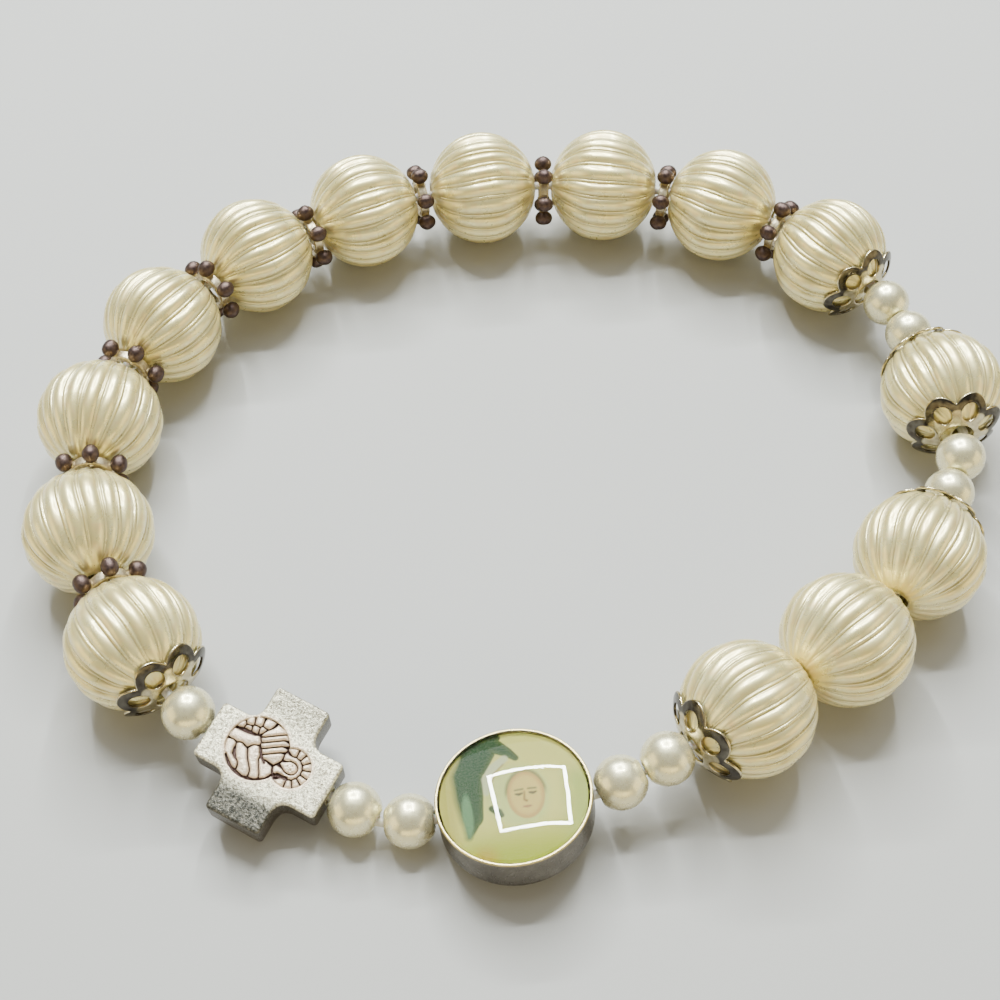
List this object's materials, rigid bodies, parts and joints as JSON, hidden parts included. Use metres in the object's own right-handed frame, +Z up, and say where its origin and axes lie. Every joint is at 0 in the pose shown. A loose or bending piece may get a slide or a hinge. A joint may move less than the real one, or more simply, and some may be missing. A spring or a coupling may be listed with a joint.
{
  "type": "stretch bracelet",
  "caption": "Stretch bracelet of ribbed faux pearls on elastic, with small pearls, ball spacers, petal caps, a cast cross and a round framed picture; a closed loop that lies flat.",
  "frame": {"origin": "on the surface that the bracelet lies on, under the middle of its box", "axes": "+X along the long way of the loop, with the medal and the cross on the -Y side; +Z up"},
  "size_m": [0.0786, 0.071, 0.01],
  "materials": {
    "ribbed_pearl": "cream pearl coat with a soft sheen",
    "small_pearl": "cream pearl coat, glossy",
    "dark_metal": "dark bronze plating worn on the hub",
    "bright_nickel": "stamped and polished",
    "antique_silver": "cast, grainy, dark in the low places",
    "silver_setting": "cast, satin, with a bright rim",
    "printed_card": "printed picture in pale green and cream",
    "clear_resin": "clear dome, glossy",
    "clear_elastic": "pale elastic thread"
  },
  "bodies": {
    "root": {"ribbed_bead_1": "ribbed_pearl", "ribbed_bead_2": "ribbed_pearl", "ribbed_bead_3": "ribbed_pearl", "ribbed_bead_4": "ribbed_pearl", "ribbed_bead_5": "ribbed_pearl", "ribbed_bead_6": "ribbed_pearl", "ribbed_bead_7": "ribbed_pearl", "ribbed_bead_8": "ribbed_pearl", "ribbed_bead_9": "ribbed_pearl", "ribbed_bead_10": "ribbed_pearl", "ribbed_bead_11": "ribbed_pearl", "ribbed_bead_12": "ribbed_pearl", "ribbed_bead_13": "ribbed_pearl", "ribbed_bead_14": "ribbed_pearl", "small_pearl_1": "small_pearl", "small_pearl_2": "small_pearl", "small_pearl_3": "small_pearl", "small_pearl_4": "small_pearl", "small_pearl_5": "small_pearl", "small_pearl_6": "small_pearl", "small_pearl_7": "small_pearl", "small_pearl_8": "small_pearl", "small_pearl_9": "small_pearl", "spacer_1": "dark_metal", "spacer_2": "dark_metal", "spacer_3": "dark_metal", "spacer_4": "dark_metal", "spacer_5": "dark_metal", "spacer_6": "dark_metal", "spacer_7": "dark_metal", "spacer_8": "dark_metal", "spacer_9": "dark_metal", "bead_cap_1": "bright_nickel", "bead_cap_2": "bright_nickel", "bead_cap_3": "bright_nickel", "bead_cap_4": "bright_nickel", "bead_cap_5": "bright_nickel", "bead_cap_6": "bright_nickel", "cross": "antique_silver", "medal_setting": "silver_setting", "medal_print": "printed_card", "medal_dome": "clear_resin", "elastic": "clear_elastic"}
  },
  "joints": []
}
